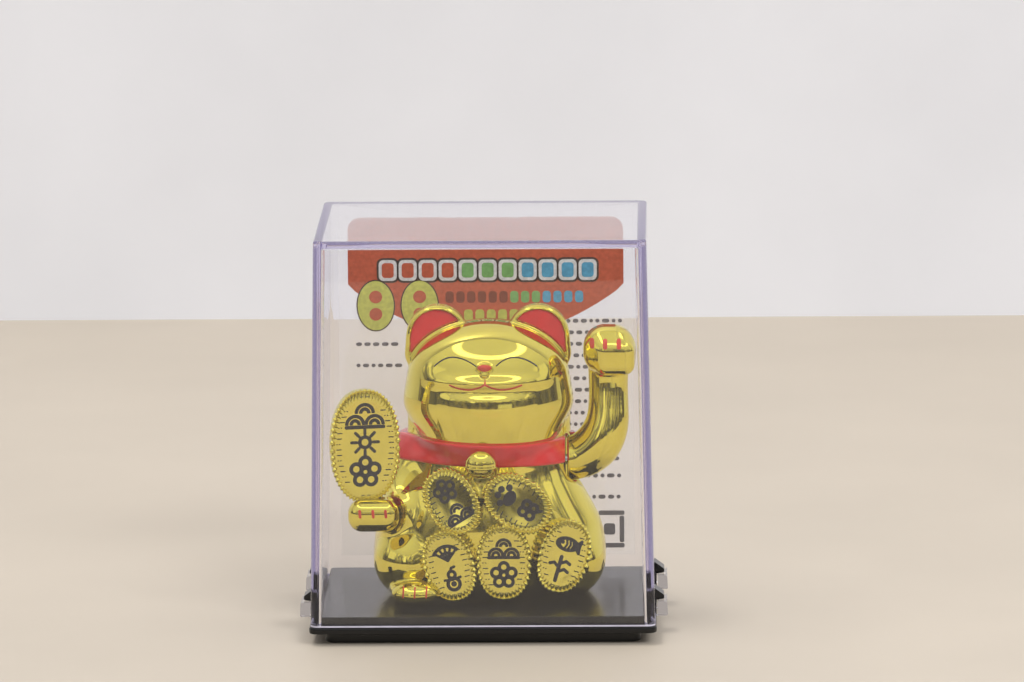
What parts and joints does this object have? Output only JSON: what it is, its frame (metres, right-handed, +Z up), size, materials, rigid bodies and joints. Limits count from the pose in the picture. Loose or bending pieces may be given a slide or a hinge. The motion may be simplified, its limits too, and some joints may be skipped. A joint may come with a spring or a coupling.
{
  "type": "beckoning cat figurine",
  "caption": "Small gold beckoning cat with a swinging raised arm, red collar, bell and oval coins, on a black tray under a lift-off clear box.",
  "frame": {"origin": "centre of the underside of the tray's foot", "axes": "+Z up; -Y is the front, which the cat faces; +X is to the right of someone who looks at the cat"},
  "size_m": [0.0698, 0.0508, 0.077],
  "materials": {
    "gold_plating": "vacuum-plated mirror gold on moulded plastic",
    "black_moulding": "satin black moulding",
    "clear_plastic": "clear polished moulding",
    "printed_film": "clear film with coloured print",
    "red_paint": "glossy red paint",
    "black_print": "black pad print",
    "white_moulding": "plain white moulding",
    "screw_steel": "zinc-plated steel",
    "shaft_steel": "ground steel",
    "magnet_nickel": "nickel-plated magnet",
    "copper_wire": "enamelled copper winding",
    "board": "green circuit board",
    "chip_black": "black moulded chip",
    "capacitor_sleeve": "dark blue sleeve",
    "solar_glass": "dark glassy solar cell",
    "lead_insulation": "red insulation"
  },
  "bodies": {
    "figure": {"base_tray": "black_moulding", "snap_arms": "black_moulding", "tray_screws": "screw_steel", "front_shell": "gold_plating", "back_shell": "gold_plating", "bottom_plate": "white_moulding", "plate_screws": "screw_steel", "collar": "red_paint", "bell": "gold_plating", "koban_chest_left": "gold_plating", "koban_chest_right": "gold_plating", "koban_low_left": "gold_plating", "koban_low_mid": "gold_plating", "koban_low_right": "gold_plating", "held_koban": "gold_plating", "mechanism_frame": "white_moulding", "frame_screws": "screw_steel", "coil_bobbin": "white_moulding", "coil_winding": "copper_wire", "circuit_board": "board", "drive_chip": "chip_black", "capacitor": "capacitor_sleeve", "solar_cell": "solar_glass", "cell_leads": "lead_insulation"},
    "arm": {"arm_front_shell": "gold_plating", "arm_back_shell": "gold_plating", "arm_shaft": "shaft_steel", "shaft_clip": "shaft_steel", "pendulum": "white_moulding", "pendulum_magnet": "magnet_nickel"},
    "cover": {"case_cover": "clear_plastic", "back_film": "printed_film"}
  },
  "joints": [
    {"name": "arm_swing", "type": "hinge", "parent": "figure", "child": "arm", "pos_m": [0.0008, 0.003, 0.0303], "axis": [1, 0, 0], "range_deg": [-20, 20]},
    {"name": "cover_lift", "type": "slide", "parent": "figure", "child": "cover", "axis": [0, 0, 1], "range_m": [0, 0.065], "deforming": ["snap_arms"]}
  ]
}
